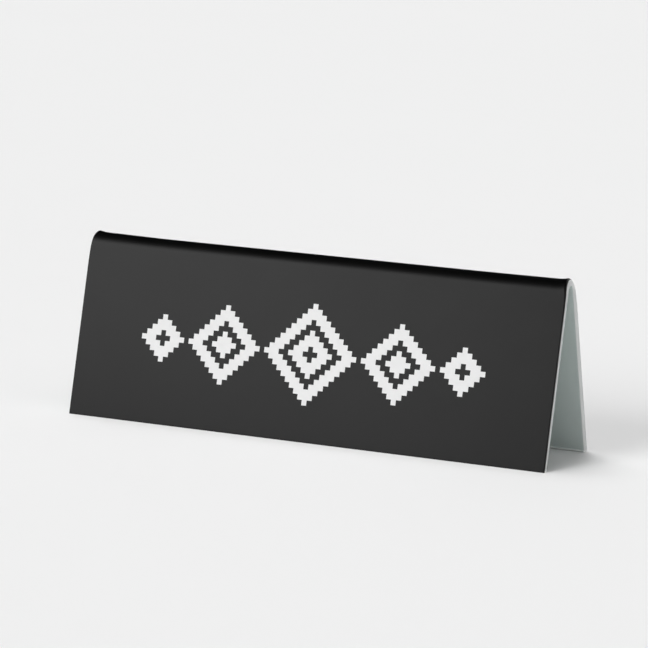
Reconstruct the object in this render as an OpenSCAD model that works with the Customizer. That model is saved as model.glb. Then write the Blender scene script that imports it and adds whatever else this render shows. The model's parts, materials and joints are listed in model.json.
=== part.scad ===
// Table tent name card: a rigid white sheet bent once, with a black face film over its outer side.
// X runs along the fold, the front panel faces -Y, and Z = 0 is the table top. Sizes are in millimetres.

/* [Sheet] */
// Length of the card along its fold
card_w = 152.4; // [60:0.1:300]
// Height of each panel down its outer face, from the end of the bend to the table
panel_h = 50.8; // [25:0.1:120]
// Thickness of the sheet
sheet_t = 2; // [1:0.05:4]

/* [Fold] */
// Lean of each panel from the vertical, in degrees
lean = 14.1; // [6:0.1:35]
// Radius of the bend on the inside of the sheet
bend_inner_r = 1.7; // [1:0.05:8]

/* [Film] */
// Thickness of the face film with its adhesive
film_t = 0.12; // [0.06:0.01:0.4]

/* [Hidden] */

// Steps of the round bend
$fn = 96;

// Radius of the bend where the sheet ends and the film begins
bend_outer_r = bend_inner_r + sheet_t;
// Angle of the bend between the lines where the two panels leave it
bend_angle = 180 - 2 * lean;
// Height of the bend's centre, with the feet flat on the table
bend_z = panel_h * cos(lean) - (bend_outer_r + film_t) * sin(lean);

// Side of the fold that a panel hangs on, along Y
FRONT = -1;
BACK = 1;

SHEET_COLOUR = [0.86, 0.89, 0.87];
FILM_COLOUR = [0.05, 0.05, 0.05];

// Where a face that leaves the bend at radius r starts, as [y, z] on the back of the fold
function panel_top(r) = [r * cos(lean), bend_z + r * sin(lean)];

// Where the same face stands on the table
function panel_foot(r) = [r / cos(lean) + bend_z * tan(lean), 0];

// A section drawn as [y, z], drawn out along the whole card
module along_card() {
    translate([-card_w / 2, 0, 0])
        rotate([90, 0, 90])
            linear_extrude(card_w)
                children();
}

// One flat layer of a panel, which starts inner_r from the bend's centre and is cut level at its foot
module panel_layer(side, inner_r, thickness) {
    outer_r = inner_r + thickness;
    along_card()
        scale([side, 1])
            polygon([panel_top(inner_r), panel_foot(inner_r), panel_foot(outer_r), panel_top(outer_r)]);
}

// One round layer of the bend, which meets the same layer of both panels edge to edge
module bend_layer(inner_r, thickness) {
    translate([-card_w / 2, 0, bend_z])
        rotate([90, 0, 90])
            rotate([0, 0, lean])
                rotate_extrude(angle = bend_angle)
                    translate([inner_r, 0])
                        square([thickness, card_w]);
}

// Front half of the sheet, below the bend
module front_panel() {
    color(SHEET_COLOUR)
        panel_layer(FRONT, bend_inner_r, sheet_t);
}

// Springy bend of the sheet along the top
module fold() {
    color(SHEET_COLOUR)
        bend_layer(bend_inner_r, sheet_t);
}

// Back half of the sheet, below the bend
module back_panel() {
    color(SHEET_COLOUR)
        panel_layer(BACK, bend_inner_r, sheet_t);
}

// Film on the front panel, cut flush with the sheet
module front_film() {
    color(FILM_COLOUR)
        panel_layer(FRONT, bend_outer_r, film_t);
}

// Film where it goes over the bend
module fold_film() {
    color(FILM_COLOUR)
        bend_layer(bend_outer_r, film_t);
}

// Film on the back panel, cut flush with the sheet
module back_film() {
    color(FILM_COLOUR)
        panel_layer(BACK, bend_outer_r, film_t);
}

front_panel();
fold();
back_panel();
front_film();
fold_film();
back_film();
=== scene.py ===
"""Looks of a table tent name card: a bent white sheet, its black face film and a printed frieze."""
import json
import logging
import math
from abc import ABC, abstractmethod
from collections.abc import Sequence
from dataclasses import astuple, dataclass
from enum import Enum
from typing import Any, NamedTuple

import bmesh
import bpy
from mathutils import Matrix, Vector


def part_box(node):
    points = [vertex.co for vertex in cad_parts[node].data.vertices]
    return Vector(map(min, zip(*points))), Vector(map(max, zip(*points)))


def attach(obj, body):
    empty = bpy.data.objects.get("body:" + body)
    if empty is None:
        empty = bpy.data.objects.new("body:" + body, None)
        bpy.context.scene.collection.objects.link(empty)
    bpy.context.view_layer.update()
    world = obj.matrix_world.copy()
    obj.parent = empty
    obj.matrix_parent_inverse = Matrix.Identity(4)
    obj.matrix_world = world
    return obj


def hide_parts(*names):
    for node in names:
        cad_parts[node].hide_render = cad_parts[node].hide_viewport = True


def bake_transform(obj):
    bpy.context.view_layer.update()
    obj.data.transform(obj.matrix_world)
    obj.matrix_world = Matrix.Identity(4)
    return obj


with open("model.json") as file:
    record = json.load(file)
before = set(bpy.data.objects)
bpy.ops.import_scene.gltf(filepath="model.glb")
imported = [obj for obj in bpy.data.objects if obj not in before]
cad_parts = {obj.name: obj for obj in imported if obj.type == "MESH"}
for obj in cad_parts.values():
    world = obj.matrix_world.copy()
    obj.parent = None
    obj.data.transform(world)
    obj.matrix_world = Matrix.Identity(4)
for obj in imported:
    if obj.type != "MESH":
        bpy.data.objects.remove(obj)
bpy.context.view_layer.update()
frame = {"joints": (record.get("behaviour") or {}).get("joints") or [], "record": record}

LOG = logging.getLogger("tent_card")
MM = 0.001

# Attribute that keeps each point's place on the flat blank
FLAT = "flat"
# Edges that turn more than this stay sharp
SHARP_TURN = math.radians(35)
# Octaves of noise in broad clouds and grain, and in fine tool marks
CLOUD_OCTAVES = 3.0
MARK_OCTAVES = 2.0

Colour = tuple[float, float, float]
Place = tuple[float, float, float]
Point = tuple[float, float]


class Side(Enum):
    """The side of the fold that a panel hangs on, as a sign along Y."""

    FRONT = -1
    BACK = 1

    @property
    def body(self) -> str:
        """Name of the body that this panel belongs to."""
        return self.name.lower()


class Reach(Enum):
    """What a lamp lights: only matt colour, or only gloss."""

    MATT = "matt"
    GLOSS = "gloss"


class Lit(Enum):
    """What a lamp shines on: everything, only the card, or only the card's outer face."""

    ALL = "all"
    CARD = "card"
    FACE = "face"


class Wire:
    """An output socket of a node tree whose arithmetic adds Math nodes."""

    def __init__(self, graph: "Graph", socket: bpy.types.NodeSocket) -> None:
        """Wrap an output socket of one of a graph's nodes."""
        self.graph = graph
        self.socket = socket

    def __add__(self, other: "Wire | float") -> "Wire":
        """Sum of two values."""
        return self.graph.maths("ADD", self, other)

    __radd__ = __add__

    def __sub__(self, other: "Wire | float") -> "Wire":
        """This value less another."""
        return self.graph.maths("SUBTRACT", self, other)

    def __rsub__(self, other: "Wire | float") -> "Wire":
        """Another value less this one."""
        return self.graph.maths("SUBTRACT", other, self)

    def __mul__(self, other: "Wire | float") -> "Wire":
        """Product of two values."""
        return self.graph.maths("MULTIPLY", self, other)

    __rmul__ = __mul__

    def __truediv__(self, other: "Wire | float") -> "Wire":
        """This value over another."""
        return self.graph.maths("DIVIDE", self, other)

    def __rtruediv__(self, other: "Wire | float") -> "Wire":
        """Another value over this one."""
        return self.graph.maths("DIVIDE", other, self)

    def __abs__(self) -> "Wire":
        """Size of this value without its sign."""
        return self.graph.maths("ABSOLUTE", self)

    def clamp(self, low: float = 0.0, high: float = 1.0) -> "Wire":
        """This value held between two limits."""
        return self.graph.maths("MINIMUM", self.graph.maths("MAXIMUM", self, low), high)

    def eased(self) -> "Wire":
        """This value from 0 to 1, with a soft start and end."""
        held = self.clamp()
        return held * held * (3 - 2 * held)


class Graph:
    """A node tree being built, in a material, a world or a Geometry Nodes group."""

    NOISE_ROUGHNESS = 0.55
    # Numbers of a Mix node's colour sockets, which share their names with its other sockets
    MIX_SHARE = 0
    MIX_FIRST = 6
    MIX_SECOND = 7
    MIX_RESULT = 2

    def __init__(self, tree: bpy.types.NodeTree) -> None:
        """Start from a tree whose nodes are removed."""
        self.tree = tree
        tree.nodes.clear()

    def feed(self, socket: bpy.types.NodeSocket, value: Any) -> None:
        """Link a wire to an input socket, or set the socket's own value.

        Args:
            socket: Input socket to fill.
            value: Wire, number, vector, colour or data block.
        """
        if isinstance(value, Wire):
            self.tree.links.new(value.socket, socket)
        elif socket.type == "RGBA" and len(value) == 3:
            socket.default_value = (*value, 1.0)
        else:
            socket.default_value = value

    def add(
        self,
        kind: str,
        settings: dict[str, Any] | None = None,
        inputs: dict[str | int, Any] | None = None,
        output: str | int = 0,
    ) -> Wire:
        """Add one node.

        Args:
            kind: Type name of the node.
            settings: Properties to set before its sockets are filled.
            inputs: Wires or values by socket name or number.
            output: Name or number of the output to return.

        Returns:
            The chosen output, or an empty wire for a node that has none.
        """
        node = self.tree.nodes.new(kind)
        for name, value in (settings or {}).items():
            setattr(node, name, value)
        for key, value in (inputs or {}).items():
            for item in value if isinstance(value, list) else [value]:
                self.feed(node.inputs[key], item)
        return Wire(self, node.outputs[output] if len(node.outputs) else None)

    def maths(self, operation: str, *values: Wire | float) -> Wire:
        """Result of one Math operation on wires and numbers."""
        return self.add("ShaderNodeMath", {"operation": operation}, dict(enumerate(values)))

    def split(self, vector: Wire) -> tuple[Wire, Wire, Wire]:
        """The three parts of a vector."""
        node = self.add("ShaderNodeSeparateXYZ", inputs={"Vector": vector}).socket.node
        return tuple(Wire(self, out) for out in node.outputs)

    def join(self, x: Wire | float, y: Wire | float, z: Wire | float) -> Wire:
        """A vector made of three parts."""
        return self.add("ShaderNodeCombineXYZ", inputs={0: x, 1: y, 2: z})

    def mix(self, share: Wire, first: Wire | Colour, second: Wire | Colour) -> Wire:
        """A colour between two, by a share from 0 to 1."""
        inputs = {self.MIX_SHARE: share, self.MIX_FIRST: first, self.MIX_SECOND: second}
        return self.add("ShaderNodeMix", {"data_type": "RGBA"}, inputs, self.MIX_RESULT)

    def noise(self, place: Wire, per_mm: float, octaves: float) -> Wire:
        """Smooth noise from about -0.5 to 0.5, over a place in millimetres."""
        inputs = {"Vector": place, "Scale": per_mm, "Detail": octaves, "Roughness": self.NOISE_ROUGHNESS}
        return self.add("ShaderNodeTexNoise", inputs=inputs) - 0.5


@dataclass(frozen=True)
class CardSizes:
    """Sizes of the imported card, in metres and radians."""

    width: float
    panel_h: float
    lean: float
    bend_inner_r: float
    sheet_t: float
    film_t: float
    bend_z: float

    @classmethod
    def from_frame(cls) -> "CardSizes":
        """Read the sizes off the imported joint, mounts and panel.

        Returns:
            The card's sizes.
        """
        face = next(m for m in frame["record"]["mounts"] if m["name"] == "front_face")
        bend = Vector(frame["joints"][0]["pos_m"])
        out = Vector(face["axis"])
        down = Vector((0.0, -out.z, out.y))
        middle = Vector(face["pos_m"]) - bend
        lean = math.asin(out.z)
        panel_low, panel_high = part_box("front_panel")
        inner_r = panel_high.y / out.y
        outer_r = (-panel_low.y - bend.z * math.tan(lean)) * math.cos(lean)
        return cls(
            width=panel_high.x - panel_low.x,
            panel_h=2 * middle.dot(down),
            lean=lean,
            bend_inner_r=inner_r,
            sheet_t=outer_r - inner_r,
            film_t=middle.dot(out) - outer_r,
            bend_z=bend.z,
        )

    @property
    def half_turn(self) -> float:
        """Angle from the top of the bend to the end of either panel."""
        return math.pi / 2 - self.lean

    @property
    def bend_length(self) -> float:
        """Length of the bend along the middle of the sheet, before it is bent."""
        return 2 * self.half_turn * (self.bend_inner_r + self.sheet_t / 2)

    @property
    def foot_slope(self) -> float:
        """Length that a panel gains per unit of height above its inner face, to stand on a level foot."""
        return math.tan(self.lean)

    @property
    def inner_panel(self) -> float:
        """Length of a panel down its inner face, from the end of the bend to the table."""
        return self.bend_z / math.cos(self.lean) + self.bend_inner_r * self.foot_slope

    def on_panel(self, side: Side, down: float) -> float:
        """Place across the flat blank, negative in front, of a point that lies so far down a panel."""
        return side.value * (self.bend_length / 2 + down)


@dataclass(frozen=True, kw_only=True)
class Finish(ABC):
    """A material with a name, made of one Principled shader whose colour drifts towards a tint."""

    name: str
    colour: Colour
    tint: Colour
    roughness: float
    specular: float

    def material(self) -> bpy.types.Material:
        """Build the material.

        Returns:
            The finished material.
        """
        made = bpy.data.materials.new(self.name)
        made.use_nodes = True
        graph = Graph(made.node_tree)
        surface = graph.add("ShaderNodeBsdfPrincipled", inputs=self.sockets(graph))
        graph.add("ShaderNodeOutputMaterial", inputs={"Surface": surface})
        return made

    @abstractmethod
    def sockets(self, graph: Graph) -> dict[str, Any]:
        """Values and wires of the shader's sockets, by name."""

    @staticmethod
    def place_mm(graph: Graph) -> Wire:
        """Place on the flat blank in millimetres: along the fold, across it, and above the inner face."""
        place = graph.add("ShaderNodeAttribute", {"attribute_name": FLAT}, output="Vector")
        return graph.add("ShaderNodeVectorMath", {"operation": "SCALE"}, {0: place, "Scale": 1 / MM})

    @staticmethod
    def bump(graph: Graph, height: Wire, depth_mm: float) -> Wire:
        """Normal of a surface whose height is given in units of a depth in millimetres."""
        inputs = {"Height": height, "Distance": depth_mm * MM, "Strength": 1.0}
        return graph.add("ShaderNodeBump", inputs=inputs)


@dataclass(frozen=True, kw_only=True)
class FilmFinish(Finish):
    """Satin black printed film, with a faint peel and cloudy gloss."""

    name: str = "black_film"
    colour: Colour = (0.0007, 0.0007, 0.0007)
    tint: Colour = (0.0013, 0.0013, 0.0013)
    roughness: float = 0.44
    specular: float = 0.3
    cloud_per_mm: float = 0.09
    cloud_contrast: float = 1.6
    cloud_gloss: float = 0.05
    peel_per_mm: float = 1.1
    peel_gloss: float = 0.03
    peel_mm: float = 0.004

    def sockets(self, graph: Graph) -> dict[str, Any]:
        """Values and wires of the shader's sockets.

        Args:
            graph: Graph of the material.

        Returns:
            Each socket's value or wire, by name.
        """
        place = self.place_mm(graph)
        cloud = graph.noise(place, self.cloud_per_mm, CLOUD_OCTAVES)
        peel = graph.noise(place, self.peel_per_mm, MARK_OCTAVES)
        return {
            "Base Color": graph.mix((cloud * self.cloud_contrast + 0.5).clamp(), self.colour, self.tint),
            "Roughness": cloud * self.cloud_gloss + peel * self.peel_gloss + self.roughness,
            "Specular IOR Level": self.specular,
            "Normal": self.bump(graph, peel, self.peel_mm),
        }


@dataclass(frozen=True, kw_only=True)
class SheetFinish(Finish):
    """White rigid plastic sheet, matt on its faces, sawn at its cut edges, with painted highlight in a pale
    band along the inner edge of its feet.

    Attributes:
        sizes: Sizes of the card, which say where the cuts are.
        cut_band: Width in millimetres over which a face turns into a cut.
        scuff_band: Width in millimetres of the band of painted highlight above a foot.
        scuff_fade: Share of that width in which the painted highlight fades out.
        saw_stretch: Scale of the saw's noise through the sheet, below 1 to draw its marks out.
    """

    sizes: CardSizes
    name: str = "white_sheet"
    colour: Colour = (0.692, 0.765, 0.745)
    tint: Colour = (0.722, 0.795, 0.775)
    roughness: float = 0.5
    specular: float = 0.35
    cut_colour: Colour = (0.775, 0.79, 0.785)
    cut_band: float = 0.3
    cut_dulling: float = 0.18
    # Painted highlight: near-white colour along the inner edge of each foot, brightening the light line
    # that the bead there shows
    scuff_colour: Colour = (0.97, 0.98, 0.97)
    scuff_band: float = 0.9
    scuff_fade: float = 0.5
    cloud_per_mm: float = 0.06
    grain_per_mm: float = 2.6
    grain_contrast: float = 0.6
    grain_gloss: float = 0.08
    saw_per_mm: float = 3.2
    saw_stretch: float = 0.12
    saw_height: float = 2.5
    relief_mm: float = 0.01

    def sockets(self, graph: Graph) -> dict[str, Any]:
        """Values and wires of the shader's sockets.

        Args:
            graph: Graph of the material.

        Returns:
            Each socket's value or wire, by name.
        """
        place = self.place_mm(graph)
        along, across, above = graph.split(place)
        foot = self.sizes.on_panel(Side.BACK, self.sizes.inner_panel)
        past_end = abs(along) - self.sizes.width / 2 / MM
        past_foot = abs(across) - above * self.sizes.foot_slope - foot / MM
        cut = (graph.maths("MAXIMUM", past_end, past_foot) / self.cut_band + 1).clamp()
        # Mask of the band of painted highlight above each foot
        foot_highlight = ((past_foot / self.scuff_band + 1) / self.scuff_fade).clamp()
        cloud = graph.noise(place, self.cloud_per_mm, CLOUD_OCTAVES)
        grain = graph.noise(place, self.grain_per_mm, CLOUD_OCTAVES)
        through = graph.join(along, across, above * self.saw_stretch)
        saw = graph.noise(through, self.saw_per_mm, MARK_OCTAVES)
        height = grain * (1 - cut) + saw * cut * self.saw_height
        face = graph.mix((cloud + grain * self.grain_contrast + 0.5).clamp(), self.colour, self.tint)
        trimmed = graph.mix(cut, face, self.cut_colour)
        return {
            # The painted highlight at the feet is mixed in over the sheet's colour here
            "Base Color": graph.mix(foot_highlight, trimmed, self.scuff_colour),
            "Roughness": grain * self.grain_gloss + cut * self.cut_dulling + self.roughness,
            "Specular IOR Level": self.specular,
            "Normal": self.bump(graph, height, self.relief_mm),
        }


@dataclass(frozen=True, kw_only=True)
class InkFinish(Finish):
    """White ink laid on the film, even with a fine tooth."""

    name: str = "white_ink"
    colour: Colour = (0.8, 0.8, 0.8)
    tint: Colour = (0.82, 0.82, 0.82)
    roughness: float = 0.5
    specular: float = 0.3
    tooth_per_mm: float = 4.0
    tooth_gloss: float = 0.1
    tooth_mm: float = 0.002

    def sockets(self, graph: Graph) -> dict[str, Any]:
        """Values and wires of the shader's sockets.

        Args:
            graph: Graph of the material.

        Returns:
            Each socket's value or wire, by name.
        """
        tooth = graph.noise(self.place_mm(graph), self.tooth_per_mm, MARK_OCTAVES)
        return {
            "Base Color": graph.mix((tooth + 0.5).clamp(), self.colour, self.tint),
            "Roughness": tooth * self.tooth_gloss + self.roughness,
            "Specular IOR Level": self.specular,
            "Normal": self.bump(graph, tooth, self.tooth_mm),
        }


@dataclass(frozen=True, kw_only=True)
class FloorFinish(Finish):
    """Plain pale paper sweep under the card."""

    name: str = "pale_floor"
    colour: Colour = (0.87, 0.87, 0.87)
    tint: Colour = (0.88, 0.88, 0.88)
    roughness: float = 0.9
    specular: float = 0.0
    fibre_per_m: float = 6.0

    def sockets(self, graph: Graph) -> dict[str, Any]:
        """Values and wires of the shader's sockets.

        Args:
            graph: Graph of the material.

        Returns:
            Each socket's value or wire, by name.
        """
        place = graph.add("ShaderNodeTexCoord", output="Object")
        inputs = {"Vector": place, "Scale": self.fibre_per_m, "Detail": CLOUD_OCTAVES}
        fibre = graph.add("ShaderNodeTexNoise", inputs=inputs)
        return {
            "Base Color": graph.mix(fibre, self.colour, self.tint),
            "Roughness": self.roughness,
            "Specular IOR Level": self.specular,
        }


class ShapeTree:
    """A Geometry Nodes group with named inputs that shapes a mesh and gives it its finish."""

    def __init__(self, name: str, inputs: dict[str, str]) -> None:
        """Make an empty group.

        Args:
            name: Name of the group.
            inputs: Socket type of each named input.
        """
        self.group = bpy.data.node_groups.new(name, "GeometryNodeTree")
        sockets = self.group.interface
        sockets.new_socket("Geometry", in_out="OUTPUT", socket_type="NodeSocketGeometry")
        kinds = {"Geometry": "NodeSocketGeometry", **inputs, "Finish": "NodeSocketMaterial"}
        self.keys = {
            label: sockets.new_socket(label, in_out="INPUT", socket_type=kind).identifier
            for label, kind in kinds.items()
        }
        self.graph = Graph(self.group)
        self.source = self.graph.tree.nodes.new("NodeGroupInput")

    def value(self, label: str) -> Wire:
        """Wire of a named input."""
        return Wire(self.graph, self.source.outputs[label])

    def close(self, geometry: Wire) -> None:
        """End the group in real geometry that wears its finish.

        Args:
            geometry: Geometry that the group has made.
        """
        real = self.graph.add("GeometryNodeRealizeInstances", inputs={"Geometry": geometry})
        inputs = {"Geometry": real, "Material": self.value("Finish")}
        dressed = self.graph.add("GeometryNodeSetMaterial", inputs=inputs)
        self.graph.add("NodeGroupOutput", inputs={"Geometry": dressed})

    def apply(self, target: bpy.types.Object, values: dict[str, Any]) -> None:
        """Run the group on an object and keep the result as its plain mesh.

        Args:
            target: Object whose mesh is replaced.
            values: Value of each named input.
        """
        modifier = target.modifiers.new(self.group.name, "NODES")
        modifier.node_group = self.group
        for label, value in values.items():
            modifier[self.keys[label]] = value
        depsgraph = bpy.context.evaluated_depsgraph_get()
        shaped = target.evaluated_get(depsgraph)
        mesh = bpy.data.meshes.new_from_object(shaped, preserve_all_data_layers=True, depsgraph=depsgraph)
        before = target.data
        target.modifiers.remove(modifier)
        target.data = mesh
        mesh.name = target.name
        bpy.data.meshes.remove(before)


@dataclass(frozen=True)
class Flare:
    """How the ends of a bend stray from square: drawn in on the outside, and curled up.

    Attributes:
        down: How far from the fold line the flare runs out.
        draw: How far the outer face is drawn in at the top of the bend.
        rise: Height of a broad rise towards each end.
        rise_skew: What the rise gains at the right end and loses at the left.
        rise_reach: How far from the end the rise starts.
        curl: Height of a short curl at the very end.
        curl_reach: How far from the end the curl starts.
    """

    down: float = 6.0 * MM
    draw: float = 0.8 * MM
    rise: float = 0.2 * MM
    rise_skew: float = -0.08 * MM
    rise_reach: float = 25.0 * MM
    curl: float = 0.4 * MM
    curl_reach: float = 3.0 * MM


class LineBend(ShapeTree):
    """Bends flat stock over a line along X, and keeps each point's flat place as an attribute.

    Flat stock lies with X along the fold, Y across it and Z above the inner face of the sheet.
    """

    SIZES = ("Bend length", "Half turn", "Inner radius", "Bend height", "Half width", "Sheet thickness")
    # Labels of a Flare's fields, in their order
    FLARE = ("Flare down", "Draw in", "Rise", "Rise skew", "Rise reach", "Curl", "Curl reach")
    # How steeply the draw grows from the inner face to the outer face
    DRAW_POWER = 3.0

    def __init__(self) -> None:
        """Build the group."""
        super().__init__("Line bend", {label: "NodeSocketFloat" for label in self.SIZES + self.FLARE})
        graph = self.graph
        place = graph.add("GeometryNodeInputPosition")
        along, across, above = graph.split(place)
        half_length = self.value("Bend length") / 2
        turned = (across / half_length).clamp(-1.0, 1.0)
        past = across - turned * half_length
        angle = turned * self.value("Half turn")
        sine = graph.maths("SINE", angle)
        cosine = graph.maths("COSINE", angle)
        flared = (1 - abs(across) / self.value("Flare down")).eased()
        outer = graph.maths("POWER", above / self.value("Sheet thickness"), self.DRAW_POWER)
        drawn = flared * outer * self.value("Draw in") / self.value("Half width")
        radius = self.value("Inner radius") + above
        height = self.value("Bend height") + flared * self.lift(along)
        bent = graph.join(
            along * (1 - drawn),
            radius * sine + past * cosine,
            radius * cosine - past * sine + height,
        )
        kept = graph.add(
            "GeometryNodeStoreNamedAttribute",
            {"data_type": "FLOAT_VECTOR", "domain": "POINT"},
            {"Geometry": self.value("Geometry"), "Name": FLAT, "Value": place},
        )
        self.close(graph.add("GeometryNodeSetPosition", inputs={"Geometry": kept, "Position": bent}))

    def lift(self, along: Wire) -> Wire:
        """Height that the top of the bend gains towards the ends.

        Args:
            along: Place along the fold.

        Returns:
            A broad rise and a short curl at the very end.
        """
        half_width = self.value("Half width")
        inward = half_width - abs(along)
        broad = (1 - inward / self.value("Rise reach")).eased()
        short = (1 - inward / self.value("Curl reach")).clamp()
        rise = self.value("Rise") + self.value("Rise skew") * along / half_width
        return broad * rise + short * short * self.value("Curl")

    def fold(
        self, target: bpy.types.Object, sizes: CardSizes, flare: Flare, finish: bpy.types.Material
    ) -> None:
        """Fold an object's flat mesh to the card's shape.

        Args:
            target: Object with a flat mesh.
            sizes: Sizes of the card.
            flare: How the ends of the bend stray from square.
            finish: Material that the folded mesh wears.
        """
        lengths = (
            sizes.bend_length,
            sizes.half_turn,
            sizes.bend_inner_r,
            sizes.bend_z,
            sizes.width / 2,
            sizes.sheet_t,
        )
        values = dict(zip(self.SIZES + self.FLARE, lengths + astuple(flare)))
        self.apply(target, {**values, "Finish": finish})


class SteppedFrieze(ShapeTree):
    """Cuts a row of stepped lozenges out of a grid of square cells and thickens them.

    Each lozenge is made of rings one step wide. From its rim inwards, some rings are printed and the
    rest of each pitch is bare.
    """

    RINGS_ON = 3
    RING_PITCH = 5
    MERGE = 0.001 * MM

    def __init__(self, steps: Sequence[int], gap: int) -> None:
        """Build the group.

        Args:
            steps: Steps from the middle of each lozenge to its point, from left to right.
            gap: Empty cells between the points of neighbours.
        """
        sizes = {label: "NodeSocketFloat" for label in ("Cell", "Thickness")}
        super().__init__("Stepped frieze", {**sizes, "Centre": "NodeSocketVector"})
        self.steps = steps
        self.gap = gap
        self.columns = sum(2 * half + 1 for half in steps) + gap * (len(steps) - 1)
        self.rows = 2 * max(steps) + 1
        bare = self.graph.maths("LESS_THAN", self.printed(), 0.5)
        inputs = {"Geometry": self.grid(), "Selection": bare}
        cells = self.graph.add("GeometryNodeDeleteGeometry", {"domain": "FACE"}, inputs)
        inputs = {"Geometry": self.thickened(cells), "Translation": self.value("Centre")}
        self.close(self.graph.add("GeometryNodeTransform", inputs=inputs))

    def grid(self) -> Wire:
        """Grid that holds the whole row.

        Returns:
            A flat grid with one face to a cell.
        """
        cell = self.value("Cell")
        sizes = {
            "Size X": cell * self.columns,
            "Size Y": cell * self.rows,
            "Vertices X": self.columns + 1,
            "Vertices Y": self.rows + 1,
        }
        return self.graph.add("GeometryNodeMeshGrid", inputs=sizes)

    def printed(self) -> Wire:
        """Mask of the cells that carry ink.

        Returns:
            1 in the printed rings of the lozenges and 0 elsewhere.
        """
        graph = self.graph
        x, y, _ = graph.split(graph.add("GeometryNodeInputPosition"))
        column = x / self.value("Cell")
        row = abs(y / self.value("Cell"))
        mask: Wire | float = 0.0
        left = -self.columns / 2
        for half in self.steps:
            step = graph.maths("ROUND", abs(column - (left + half + 0.5)) + row)
            ring = graph.maths("FLOORED_MODULO", half - step, float(self.RING_PITCH))
            inside = graph.maths("LESS_THAN", step, half + 0.5)
            shown = graph.maths("LESS_THAN", ring, self.RINGS_ON - 0.5) * inside
            mask = graph.maths("MAXIMUM", mask, shown)
            left += 2 * half + 1 + self.gap
        return mask

    def thickened(self, cells: Wire) -> Wire:
        """A layer of ink as thick as the group's input says.

        Args:
            cells: Flat cells that carry ink.

        Returns:
            The closed layer.
        """
        graph = self.graph
        inputs = {"Mesh": cells, "Offset Scale": self.value("Thickness"), "Individual": False}
        raised = graph.add("GeometryNodeExtrudeMesh", {"mode": "FACES"}, inputs)
        base = graph.add("GeometryNodeFlipFaces", inputs={"Mesh": cells})
        closed = graph.add("GeometryNodeJoinGeometry", inputs={"Geometry": [raised, base]})
        return graph.add("GeometryNodeMergeByDistance", inputs={"Geometry": closed, "Distance": self.MERGE})


def new_object(name: str, mesh: bpy.types.Mesh) -> bpy.types.Object:
    """Put a mesh into the scene as an object at the origin.

    Args:
        name: Name of the object.
        mesh: Mesh to show.

    Returns:
        The new object.
    """
    made = bpy.data.objects.new(name, mesh)
    bpy.context.scene.collection.objects.link(made)
    return made


class Section(NamedTuple):
    """One face of the stock from its left end to its right end, as it is on the front panel.

    Attributes:
        level: Height of the face.
        points: Places along the card with their heights.
        back_share: Share of the rounding at the ends that the back panel has.
    """

    level: float
    points: list[Point]
    back_share: float

    def height(self, above: float, turn: float) -> float:
        """Height of a point on a ruling turned from -1, the front panel, to 1, the back panel."""
        share = 1 + (self.back_share - 1) * (turn + 1) / 2
        return self.level + (above - self.level) * share


@dataclass(frozen=True)
class EndEdge:
    """The rounding of the card's outer arris at either end, and faces that run from end to end.

    Attributes:
        half_width: Distance from the middle of the card to an end.
        run: Length of the rounding along the card.
        rise: Height of the rounding at the front panel's ends.
        back_share: Share of that height at the back panel's ends.
        columns: Columns of faces between the roundings.
        arc_steps: Steps in a rounding.
    """

    half_width: float
    run: float = 0.18 * MM
    rise: float = 0.7 * MM
    back_share: float = 0.15
    columns: int = 64
    arc_steps: int = 6

    def face(
        self, level: float, run: float, rise: float, rim: float = 0.0, back_share: float = 1.0
    ) -> Section:
        """Section of one face of the stock.

        Args:
            level: Height of the face.
            run: Length of the rounding along the card.
            rise: Height of the rounding, negative where the face looks down.
            rim: Length of flat end below the rounding, or 0 for none.
            back_share: Share of the rounding that the back panel has.

        Returns:
            The section, with its points closer together towards the ends.
        """
        turns = [math.pi / 2 * i / self.arc_steps for i in range(self.arc_steps)]
        left = [
            (run * (1 - math.cos(turn)) - self.half_width, level + rise * (math.sin(turn) - 1))
            for turn in turns
        ]
        if rim:
            left.insert(0, (-self.half_width, level - rise - math.copysign(rim, rise)))
        right = [(-along, above) for along, above in reversed(left)]
        reach = self.half_width - run
        grades = [math.pi * (i / self.columns - 0.5) for i in range(self.columns + 1)]
        middle = [(reach * math.sin(grade), level) for grade in grades]
        return Section(level, left + middle + right, back_share)


class Ruling(NamedTuple):
    """A line across the blank, parallel to the fold.

    Attributes:
        turn: Place in the bend, from -1 at the front panel to 1 at the back panel.
        past: Length past the end of the bend, on top of the share.
        share: Share of the panel past the end of the bend.
        inset: How far the shaped face is set in on this line.
    """

    turn: float
    past: float = 0.0
    share: float = 0.0
    inset: float = 0.0


class FootEdge(Enum):
    """How the cut leaves one edge of a foot: rounded off, or raised as a fine half-round bead."""

    ROUND = "round"
    BEAD = "bead"

    def profile(self, radius: float, steps: int) -> list[Point]:
        """Points of the edge down the last stretch of a panel.

        Args:
            radius: Radius of the rounding or of the bead.
            steps: Steps in a quarter turn.

        Returns:
            How far past the foot each point lies, and how far it is set into the face.
        """
        turns = [math.pi / 2 * i / steps for i in range(2 * steps + 1)]
        if self is FootEdge.BEAD:
            return [(-radius * (1 + math.cos(turn)), -radius * math.sin(turn)) for turn in turns]
        quarter = turns[: steps + 1]
        return [(radius * (math.sin(turn) - 1), radius * (1 - math.cos(turn))) for turn in quarter]


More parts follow.
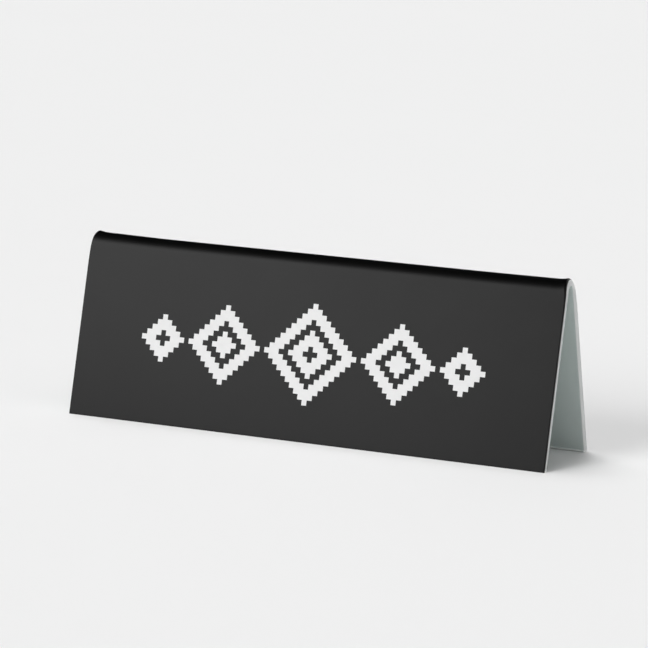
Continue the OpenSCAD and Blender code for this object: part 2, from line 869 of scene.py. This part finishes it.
@dataclass
class FlatStock:
    """A slab of sheet or film, ruled for its bend, with level feet and one face shaped at the feet.

    Attributes:
        sizes: Sizes of the card.
        upper: Outer face.
        lower: Inner face.
        shaped: Level of the face whose edge is shaped at the feet.
        kept: Level of the other face.
        foot_edge: Shape of that edge.
        foot_radius: Radius of that edge.
        bend_steps: Rulings over the bend.
        panel_steps: Rulings down a panel.
        foot_steps: Rulings in a quarter turn of the shaped edge.
        margin: How far a panel's rulings stay from the bend and from the foot.
        merge: Distance below which two points are one.
        sliver: Area below which a face has no width.
    """

    sizes: CardSizes
    upper: Section
    lower: Section
    shaped: float
    kept: float
    foot_edge: FootEdge
    foot_radius: float
    bend_steps: int = 56
    panel_steps: int = 12
    foot_steps: int = 4
    margin: float = 0.8 * MM
    merge: float = 1e-4 * MM
    sliver: float = 1e-5 * MM * MM

    def rulings(self) -> list[Ruling]:
        """Lines where the slab is ruled, from the front foot to the back foot.

        Returns:
            The rulings.
        """
        bend = [Ruling(2 * i / self.bend_steps - 1) for i in range(self.bend_steps + 1)]
        shares = [i / self.panel_steps for i in range(self.panel_steps + 1)]
        panel = [Ruling(1.0, self.margin * (1 - 2 * share), share) for share in shares]
        foot = self.foot_edge.profile(self.foot_radius, self.foot_steps)
        panel += [Ruling(1.0, past, 1.0, inset) for past, inset in foot]
        return [ruling._replace(turn=-1.0) for ruling in reversed(panel)] + bend + panel

    def place(self, ruling: Ruling, along: float, above: float) -> Vector:
        """Flat place of a point of a section on a ruling.

        Args:
            ruling: Ruling that the point lies on.
            along: Place along the card.
            above: Height above the inner face.

        Returns:
            Place along the fold, across it and above the inner face.
        """
        inward = math.copysign(1.0, self.kept - self.shaped)
        near = max(0.0, 1 - abs(above - self.shaped) / abs(self.kept - self.shaped))
        above += inward * ruling.inset * near
        panel = self.sizes.inner_panel + above * self.sizes.foot_slope
        past = ruling.past + ruling.share * panel
        across = ruling.turn * self.sizes.bend_length / 2 + math.copysign(past, ruling.turn)
        return Vector((along, across, above))

    def row(
        self, shape: bmesh.types.BMesh, section: Section, ruling: Ruling
    ) -> list[bmesh.types.BMVert]:
        """Add the vertices of a section on one ruling.

        Args:
            shape: Slab being built.
            section: Outer or inner face.
            ruling: Ruling that the vertices lie on.

        Returns:
            The vertices from the left end to the right end.
        """
        turn = ruling.turn
        places = [self.place(ruling, along, section.height(above, turn)) for along, above in section.points]
        return [shape.verts.new(place) for place in places]

    def mesh(self, name: str) -> bpy.types.Mesh:
        """Build the slab.

        Args:
            name: Name of the mesh.

        Returns:
            A closed mesh in flat places.
        """
        shape = bmesh.new()
        upper = [self.row(shape, self.upper, ruling) for ruling in self.rulings()]
        lower = [self.row(shape, self.lower, ruling) for ruling in self.rulings()]
        for rows in (upper, lower):
            for first, second in zip(rows, rows[1:]):
                self.strip(shape, first, second)
        for end in (0, -1):
            self.strip(shape, upper[end], lower[end])
            self.strip(shape, [row[end] for row in upper], [row[end] for row in lower])
        bmesh.ops.remove_doubles(shape, verts=shape.verts, dist=self.merge)
        self.join_slivers(shape)
        bmesh.ops.recalc_face_normals(shape, faces=shape.faces)
        made = bpy.data.meshes.new(name)
        shape.to_mesh(made)
        shape.free()
        return made

    @staticmethod
    def strip(
        shape: bmesh.types.BMesh, first: Sequence[bmesh.types.BMVert], second: Sequence[bmesh.types.BMVert]
    ) -> None:
        """Join two lines of vertices with quads."""
        for a, b, c, d in zip(first, first[1:], second[1:], second):
            shape.faces.new((a, b, c, d))

    def join_slivers(self, shape: bmesh.types.BMesh) -> None:
        """Join each face without width, where the flat of an end meets a foot, to the foot.

        Args:
            shape: Slab whose faces are all made.
        """
        slivers = [face for face in shape.faces if face.calc_area() < self.sliver]
        longest = [max(face.edges, key=lambda edge: edge.calc_length()) for face in slivers]
        bmesh.ops.dissolve_edges(shape, edges=longest)


def hinge(piece: bpy.types.Object) -> None:
    """Bake a folded piece's placement into its mesh.

    Args:
        piece: Folded sheet or film.
    """
    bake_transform(piece)


@dataclass
class FoldedLayer(ABC):
    """A layer of the card that goes over the fold in one piece."""

    sizes: CardSizes
    flare: Flare
    edge: EndEdge
    finish: Finish

    @abstractmethod
    def stock(self) -> FlatStock:
        """The layer's flat stock."""

    def fold(self, name: str, bend: LineBend) -> bpy.types.Object:
        """Fold the stock, shade it smooth and bake its placement into its mesh.

        Args:
            name: Name of the piece.
            bend: Group that folds flat stock.

        Returns:
            The folded piece.
        """
        piece = new_object(name, self.stock().mesh(name))
        bend.fold(piece, self.sizes, self.flare, self.finish.material())
        mesh = piece.data
        mesh.polygons.foreach_set("use_smooth", [True] * len(mesh.polygons))
        mesh.set_sharp_from_angle(angle=SHARP_TURN)
        hinge(piece)
        return piece


@dataclass
class FoldedSheet(FoldedLayer):
    """The rigid white sheet: front panel, fold and back panel in one.

    Attributes:
        inner_ease: Rounding of the inner arrises at the ends.
        foot_bead: Radius of the bead that the cut leaves along the inner edge of a foot.
        rim: Flat of an end next to each rounding.
    """

    inner_ease: float = 0.2 * MM
    foot_bead: float = 0.34 * MM
    rim: float = 0.08 * MM

    def stock(self) -> FlatStock:
        """The sheet before it is bent, with a bead on the inner edge of each foot.

        Returns:
            The sheet's flat stock.
        """
        s = self.sizes
        edge = self.edge
        upper = edge.face(s.sheet_t, edge.run, edge.rise - s.film_t, self.rim, edge.back_share)
        lower = edge.face(0.0, self.inner_ease, -self.inner_ease, self.rim)
        return FlatStock(
            s, upper, lower, shaped=0.0, kept=s.sheet_t,
            foot_edge=FootEdge.BEAD, foot_radius=self.foot_bead,
        )

    def build(self, bend: LineBend) -> bpy.types.Object:
        """Make the sheet, which stands for three nodes.

        Args:
            bend: Group that folds flat stock.

        Returns:
            The sheet.
        """
        sheet = self.fold("sheet", bend)
        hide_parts("front_panel", "fold", "back_panel")
        return sheet


@dataclass
class FaceFilm(FoldedLayer):
    """The black film over the whole outer side of the sheet, pressed round the ends and cut at the feet.

    Attributes:
        foot_ease: Rounding of the film's outer edge at a foot.
    """

    foot_ease: float = 0.04 * MM

    def stock(self) -> FlatStock:
        """The film before it is bent, rounded on the outer edge of each foot.

        Returns:
            The film's flat stock.
        """
        s = self.sizes
        edge = self.edge
        top = s.sheet_t + s.film_t
        upper = edge.face(top, edge.run, edge.rise, back_share=edge.back_share)
        lower = edge.face(s.sheet_t, edge.run, edge.rise - s.film_t, back_share=edge.back_share)
        return FlatStock(
            s, upper, lower, shaped=top, kept=s.sheet_t,
            foot_edge=FootEdge.ROUND, foot_radius=self.foot_ease,
        )

    def build(self, bend: LineBend) -> bpy.types.Object:
        """Make the film, which stands for three nodes.

        Args:
            bend: Group that folds flat stock.

        Returns:
            The film.
        """
        film = self.fold("face_film", bend)
        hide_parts("front_film", "fold_film", "back_film")
        return film


@dataclass
class PrintedFrieze:
    """A row of stepped lozenges printed in white on each panel's film.

    Attributes:
        sizes: Sizes of the card.
        flare: How the ends of the bend stray from square.
        finish: Ink of the print.
        steps: Steps from the middle of each lozenge to its point, from left to right.
        gap: Empty cells between the points of neighbours.
        cell: Side of a square cell.
        ink_t: Thickness of the ink.
    """

    sizes: CardSizes
    flare: Flare
    finish: InkFinish
    steps: tuple[int, ...] = (4, 7, 9, 7, 4)
    gap: int = 1
    cell: float = 1.55 * MM
    ink_t: float = 0.03 * MM

    def build(self, bend: LineBend) -> list[bpy.types.Object]:
        """Print the frieze on both panels.

        Args:
            bend: Group that folds flat stock.

        Returns:
            The front print and the back print.
        """
        s = self.sizes
        frieze = SteppedFrieze(self.steps, self.gap)
        ink = self.finish.material()
        prints = []
        for side in Side:
            middle = (0.0, s.on_panel(side, s.panel_h / 2), s.sheet_t + s.film_t)
            name = f"{side.body}_print"
            made = new_object(name, bpy.data.meshes.new(name))
            values = {"Cell": self.cell, "Thickness": self.ink_t, "Centre": middle, "Finish": ink}
            frieze.apply(made, values)
            bend.fold(made, s, self.flare, ink)
            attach(made, side.body)
            prints.append(made)
        return prints


def towards(azimuth: float, elevation: float) -> Vector:
    """Unit vector from the card towards a place round it.

    Args:
        azimuth: Degrees round from the card's front, with its right end at 90.
        elevation: Degrees above the table.

    Returns:
        The direction.
    """
    turn = math.radians(azimuth)
    rise = math.radians(elevation)
    level = math.cos(rise)
    return Vector((math.sin(turn) * level, -math.cos(turn) * level, math.sin(rise)))


@dataclass(frozen=True, kw_only=True)
class Lamp(ABC):
    """A lamp placed by where its light comes from, in degrees round and above the card."""

    name: str
    azimuth: float
    elevation: float
    reach: Reach
    lit: Lit = Lit.ALL
    aim: Place = (0.0, 0.0, 0.0)
    distance: float = 1.0

    @abstractmethod
    def build(self) -> bpy.types.Object:
        """Make the lamp's light and hang it."""

    def hang(self, light: bpy.types.Light) -> bpy.types.Object:
        """Hang a light so that it looks at the lamp's aim.

        Args:
            light: Light to hang.

        Returns:
            The lamp's object.
        """
        lamp = bpy.data.objects.new(self.name, light)
        back = towards(self.azimuth, self.elevation)
        turn = back.to_track_quat("Z", "Y").to_matrix().to_4x4()
        lamp.matrix_world = Matrix.Translation(Vector(self.aim) + back * self.distance) @ turn
        lamp.visible_camera = False
        lamp.visible_diffuse = self.reach is Reach.MATT
        lamp.visible_glossy = self.reach is Reach.GLOSS
        bpy.context.scene.collection.objects.link(lamp)
        return lamp


@dataclass(frozen=True, kw_only=True)
class SkyPatch(Lamp):
    """A soft far patch of light, whose level is the brightness it gives white paper that faces it."""

    reach: Reach = Reach.MATT
    spread: float
    level: float

    def build(self) -> bpy.types.Object:
        """Hang the patch.

        Returns:
            The patch's object.
        """
        light = bpy.data.lights.new(self.name, "SUN")
        light.angle = math.radians(self.spread)
        light.energy = self.level * math.pi
        return self.hang(light)


@dataclass(frozen=True, kw_only=True)
class Softbox(Lamp):
    """A rectangular soft light near the card, which shows as its gloss."""

    elevation: float = 23.2
    reach: Reach = Reach.GLOSS
    aim: Place = (0.0, 0.0, 0.025)
    distance: float = 0.305
    width: float = 0.381
    height: float = 0.199
    power: float

    def build(self) -> bpy.types.Object:
        """Hang the softbox.

        Returns:
            The softbox's object.
        """
        light = bpy.data.lights.new(self.name, "AREA")
        light.shape = "RECTANGLE"
        light.size = self.width
        light.size_y = self.height
        light.energy = self.power
        return self.hang(light)


STUDIO_LAMPS = (
    SkyPatch(name="front_sky", azimuth=-24, elevation=28, spread=30, level=0.536),
    SkyPatch(name="top_sky", azimuth=-119, elevation=75, spread=34, level=0.53),
    SkyPatch(name="right_sky", azimuth=60, elevation=60, spread=60, level=0.222),
    SkyPatch(name="rear_sky", azimuth=-140, elevation=28, spread=50, level=0.08),
    SkyPatch(name="end_fill", azimuth=80, elevation=45, spread=40, level=0.045, lit=Lit.CARD),
    SkyPatch(name="back_fill", azimuth=180, elevation=20, spread=40, level=0.5, lit=Lit.CARD),
    Softbox(name="front_softbox", azimuth=-35, power=0.71),
    Softbox(name="back_softbox", azimuth=145, power=0.36, lit=Lit.FACE),
)


@dataclass(frozen=True)
class PhotoCamera:
    """A camera at the photograph's viewing angle, in degrees and metres, with its lens in millimetres."""

    azimuth: float = 25.778
    elevation: float = 10.924
    roll: float = 1.056
    distance: float = 1.0706
    lens: float = 205.152
    sensor: float = 36.0
    target: Place = (-0.000461, 0.0, 0.031977)

    def build(self) -> bpy.types.Object:
        """Place the camera.

        Returns:
            The camera's object.
        """
        data = bpy.data.cameras.new("camera")
        data.lens = self.lens
        data.sensor_width = self.sensor
        camera = bpy.data.objects.new("camera", data)
        back = towards(self.azimuth, self.elevation)
        right = Vector((0.0, 0.0, 1.0)).cross(back).normalized()
        up = back.cross(right)
        turn = Matrix.Rotation(math.radians(self.roll), 4, "Z")
        axes = Matrix((right, up, back)).transposed().to_4x4()
        place = Matrix.Translation(Vector(self.target) + back * self.distance)
        camera.matrix_world = place @ axes @ turn
        bpy.context.scene.collection.objects.link(camera)
        return camera


@dataclass
class Studio:
    """Floor, lamps, surroundings and camera round a card.

    Attributes:
        sheet: The card's sheet.
        face: The film and the prints, which make the card's outer face.
        floor: Finish of the floor.
        lamps: Lamps to hang.
        camera: Camera to place.
        backdrop: Brightness of the surroundings that the camera sees.
        floor_radius: Radius of the floor's disc.
        floor_segments: Sides of the floor's disc.
    """

    sheet: bpy.types.Object
    face: Sequence[bpy.types.Object]
    floor: FloorFinish
    lamps: tuple[Lamp, ...] = STUDIO_LAMPS
    camera: PhotoCamera = PhotoCamera()
    backdrop: float = 0.87
    floor_radius: float = 6.0
    floor_segments: int = 96

    def build(self) -> None:
        """Set up the whole studio."""
        self.lay_floor()
        self.hang_lamps()
        self.surround_all()
        bpy.context.scene.camera = self.camera.build()
        bpy.context.scene.view_settings.view_transform = "Standard"

    def lay_floor(self) -> None:
        """Lay a pale disc under the card."""
        shape = bmesh.new()
        bmesh.ops.create_circle(
            shape, cap_ends=True, radius=self.floor_radius, segments=self.floor_segments
        )
        mesh = bpy.data.meshes.new("floor")
        shape.to_mesh(mesh)
        shape.free()
        floor = new_object("floor", mesh)
        floor.data.materials.append(self.floor.material())

    def hang_lamps(self) -> None:
        """Hang the lamps, some of which light only the card or only its outer face."""
        lit = {}
        for group, pieces in ((Lit.CARD, (self.sheet, *self.face)), (Lit.FACE, self.face)):
            lit[group] = bpy.data.collections.new(f"lit_{group.value}")
            for piece in pieces:
                lit[group].objects.link(piece)
        for lamp in self.lamps:
            hung = lamp.build()
            if lamp.lit in lit:
                hung.light_linking.receiver_collection = lit[lamp.lit]

    def surround_all(self) -> None:
        """Give the camera a pale backdrop and leave the room dark for everything else."""
        world = bpy.data.worlds.new("surround")
        world.use_nodes = True
        graph = Graph(world.node_tree)
        seen = graph.add("ShaderNodeLightPath", output="Is Camera Ray")
        level = graph.mix(seen, (0.0, 0.0, 0.0), (self.backdrop,) * 3)
        light = graph.add("ShaderNodeBackground", inputs={"Color": level, "Strength": 1.0})
        graph.add("ShaderNodeOutputWorld", inputs={"Surface": light})
        bpy.context.scene.world = world


def main() -> None:
    """Build the card's pieces, then the studio."""
    logging.basicConfig(level=logging.INFO, format="%(name)s: %(message)s")
    sizes = CardSizes.from_frame()
    LOG.info("sizes %s", sizes)
    bend = LineBend()
    flare = Flare()
    edge = EndEdge(sizes.width / 2)
    sheet = FoldedSheet(sizes, flare, edge, SheetFinish(sizes=sizes)).build(bend)
    film = FaceFilm(sizes, flare, edge, FilmFinish()).build(bend)
    prints = PrintedFrieze(sizes, flare, InkFinish()).build(bend)
    for piece in (sheet, film, *prints):
        LOG.info("%s has %d faces", piece.name, len(piece.data.polygons))
    Studio(sheet, (film, *prints), FloorFinish()).build()


if __name__ == "__main__":
    main()
